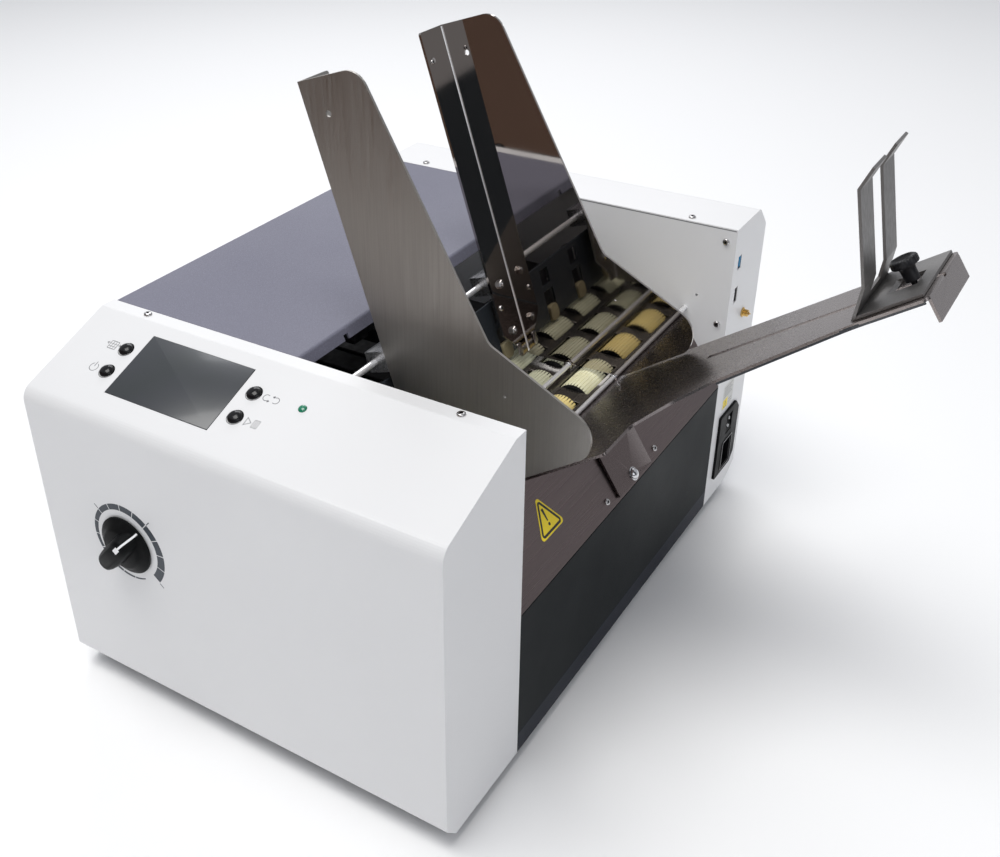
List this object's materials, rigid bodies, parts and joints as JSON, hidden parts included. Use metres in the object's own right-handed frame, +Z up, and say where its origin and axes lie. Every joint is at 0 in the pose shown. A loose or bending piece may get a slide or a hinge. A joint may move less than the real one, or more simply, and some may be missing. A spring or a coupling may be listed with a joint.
{
  "type": "envelope address printer",
  "caption": "Desktop mailroom printer with a friction feeder, side guides, a sloping support arm with a backstop, and a touch control panel.",
  "frame": {"origin": "centre of the footprint of the whole machine with its support arm, on the plane its feet stand on", "axes": "+X towards the feed end with the support arm, -X towards the exit, -Y towards the operator's control panel, +Y towards the rear housing, +Z up"},
  "size_m": [0.5612, 0.559, 0.4858],
  "materials": {
    "white_powder_coat": "fine texture, satin",
    "lid_coat": "coarse texture, satin",
    "dark_coat": "satin",
    "base_coat": "satin",
    "brown_stainless": "brushed",
    "satin_stainless": "brushed",
    "polished_stainless": "polished",
    "plated_steel": "bright",
    "chromed_steel": "polished",
    "black_gloss": "glossy",
    "black_plastic": "satin",
    "black_rubber": "matte",
    "ivory_rubber": "matte",
    "separator_urethane": "satin",
    "belt_rubber": "matte",
    "roller_rubber": "matte",
    "screen_glass": "glossy",
    "led_green": "translucent, glossy",
    "circuit_board": "solder mask",
    "gold_plate": "bright",
    "motor_paint": "satin"
  },
  "bodies": {
    "cabinet": {"base_pan": "base_coat", "rubber_feet": "black_rubber", "tie_bars": "plated_steel", "front_side_plate": "white_powder_coat", "rear_side_plate": "white_powder_coat", "front_cover": "white_powder_coat", "rear_cover": "white_powder_coat", "infeed_panel": "dark_coat", "infeed_apron": "brown_stainless", "outfeed_panel": "dark_coat", "cover_screws": "chromed_steel", "touchscreen": "screen_glass", "panel_board": "circuit_board", "status_led": "led_green", "speed_potentiometer": "plated_steel", "lid_hinge_pins": "plated_steel", "guide_rail": "chromed_steel", "deck_rods": "chromed_steel", "gate_plate": "dark_coat", "feed_deck": "dark_coat", "shaft_bearings": "plated_steel", "drive_motor": "motor_paint", "drive_belt": "belt_rubber", "transport_belts": "belt_rubber", "print_rails": "chromed_steel", "support_arm": "brown_stainless", "arm_screw": "chromed_steel", "power_inlet": "black_plastic", "main_board": "circuit_board", "usb_port": "plated_steel", "video_port": "plated_steel", "antenna_connector": "gold_plate", "power_supply": "plated_steel"},
    "setup_button": {"setup_button": "black_gloss"},
    "power_button": {"power_button": "black_gloss"},
    "repeat_button": {"repeat_button": "black_gloss"},
    "run_button": {"run_button": "black_gloss"},
    "speed_knob": {"speed_knob": "black_plastic"},
    "lid": {"lid": "lid_coat"},
    "front_guide": {"front_guide": "satin_stainless", "front_guide_clamp": "plated_steel"},
    "front_guide_lock": {"front_guide_lock": "plated_steel"},
    "rear_guide": {"rear_guide": "polished_stainless", "rear_guide_clamp": "plated_steel"},
    "rear_guide_lock": {"rear_guide_lock": "plated_steel"},
    "separators": {"separator_fingers": "separator_urethane"},
    "feed_shaft_1": {"feed_shaft_1": "plated_steel", "feed_wheels_1": "ivory_rubber"},
    "feed_shaft_2": {"feed_shaft_2": "plated_steel", "feed_wheels_2": "ivory_rubber"},
    "feed_shaft_3": {"feed_shaft_3": "plated_steel", "feed_wheels_3": "ivory_rubber"},
    "transport_roller": {"transport_roller": "roller_rubber"},
    "exit_roller": {"exit_roller": "roller_rubber"},
    "motor_pulley": {"motor_pulley": "plated_steel"},
    "print_carriage": {"print_carriage": "black_plastic", "ink_cartridge": "black_plastic"},
    "backstop": {"backstop": "satin_stainless"},
    "backstop_knob": {"backstop_knob": "black_plastic"},
    "rocker_switch": {"rocker_switch": "black_plastic"}
  },
  "joints": [
    {"name": "setup_press", "type": "slide", "parent": "cabinet", "child": "setup_button", "axis": [0, 0.3551, -0.9348], "range_m": [0, 0.0012], "stiffness_N_per_m": 600, "springref_m": -0.0005},
    {"name": "power_press", "type": "slide", "parent": "cabinet", "child": "power_button", "axis": [0, 0.3551, -0.9348], "range_m": [0, 0.0012], "stiffness_N_per_m": 600, "springref_m": -0.0005},
    {"name": "repeat_press", "type": "slide", "parent": "cabinet", "child": "repeat_button", "axis": [0, 0.3551, -0.9348], "range_m": [0, 0.0012], "stiffness_N_per_m": 600, "springref_m": -0.0005},
    {"name": "run_press", "type": "slide", "parent": "cabinet", "child": "run_button", "axis": [0, 0.3551, -0.9348], "range_m": [0, 0.0012], "stiffness_N_per_m": 600, "springref_m": -0.0005},
    {"name": "speed_turn", "type": "hinge", "parent": "cabinet", "child": "speed_knob", "pos_m": [-0.19605, -0.2615, 0.159], "axis": [0, -1, 0], "range_deg": [-90, 180]},
    {"name": "lid_open", "type": "hinge", "parent": "cabinet", "child": "lid", "pos_m": [-0.27055, 0.02, 0.287], "axis": [0, -1, 0], "range_deg": [0, 100]},
    {"name": "front_guide_slide", "type": "slide", "parent": "cabinet", "child": "front_guide", "axis": [0, 1, 0], "range_m": [-0.042, 0.04]},
    {"name": "front_lock_turn", "type": "hinge", "parent": "front_guide", "child": "front_guide_lock", "pos_m": [-0.05801, -0.1025, 0.26185], "axis": [-0.309, 0, 0.9511], "range_deg": [0, 360]},
    {"name": "rear_guide_slide", "type": "slide", "parent": "cabinet", "child": "rear_guide", "axis": [0, 1, 0], "range_m": [-0.06, 0.14]},
    {"name": "rear_lock_turn", "type": "hinge", "parent": "rear_guide", "child": "rear_guide_lock", "pos_m": [-0.05801, 0.0435, 0.26185], "axis": [-0.309, 0, 0.9511], "range_deg": [0, 360]},
    {"name": "separator_lift", "type": "slide", "parent": "cabinet", "child": "separators", "axis": [-0.309, 0, 0.9511], "range_m": [0, 0.004]},
    {"name": "transport_spin", "type": "hinge", "parent": "cabinet", "child": "transport_roller", "pos_m": [-0.08855, 0.02, 0.19775], "axis": [0, 1, 0], "continuous": true},
    {"name": "feed_shaft_1_spin", "type": "hinge", "parent": "cabinet", "child": "feed_shaft_1", "pos_m": [0.01745, 0.02, 0.19775], "axis": [0, 1, 0], "continuous": true},
    {"name": "feed_shaft_2_spin", "type": "hinge", "parent": "cabinet", "child": "feed_shaft_2", "pos_m": [-0.01455, 0.02, 0.19775], "axis": [0, 1, 0], "continuous": true},
    {"name": "feed_shaft_3_spin", "type": "hinge", "parent": "cabinet", "child": "feed_shaft_3", "pos_m": [-0.04655, 0.02, 0.19775], "axis": [0, 1, 0], "continuous": true},
    {"name": "exit_spin", "type": "hinge", "parent": "cabinet", "child": "exit_roller", "pos_m": [-0.25855, 0.02, 0.19775], "axis": [0, 1, 0], "continuous": true},
    {"name": "motor_spin", "type": "hinge", "parent": "cabinet", "child": "motor_pulley", "pos_m": [-0.17055, 0.02, 0.19775], "axis": [0, 1, 0], "continuous": true},
    {"name": "carriage_slide", "type": "slide", "parent": "cabinet", "child": "print_carriage", "axis": [0, 1, 0], "range_m": [-0.13, 0.155]},
    {"name": "backstop_slide", "type": "slide", "parent": "cabinet", "child": "backstop", "axis": [0.8192, 0, 0.5736], "range_m": [-0.14, 0.005]},
    {"name": "backstop_knob_turn", "type": "hinge", "parent": "backstop", "child": "backstop_knob", "pos_m": [0.25122, 0.0245, 0.36683], "axis": [-0.5736, 0, 0.8192], "range_deg": [0, 360]},
    {"name": "power_rock", "type": "hinge", "parent": "cabinet", "child": "rocker_switch", "pos_m": [0.07545, 0.2415, 0.086], "axis": [0, 1, 0], "range_deg": [0, 16]}
  ],
  "couplings": [
    {"joint": "feed_shaft_1_spin", "follows": "transport_spin", "ratio": 1},
    {"joint": "feed_shaft_2_spin", "follows": "transport_spin", "ratio": 1},
    {"joint": "feed_shaft_3_spin", "follows": "transport_spin", "ratio": 1},
    {"joint": "exit_spin", "follows": "transport_spin", "ratio": 1},
    {"joint": "motor_spin", "follows": "transport_spin", "ratio": 1}
  ]
}
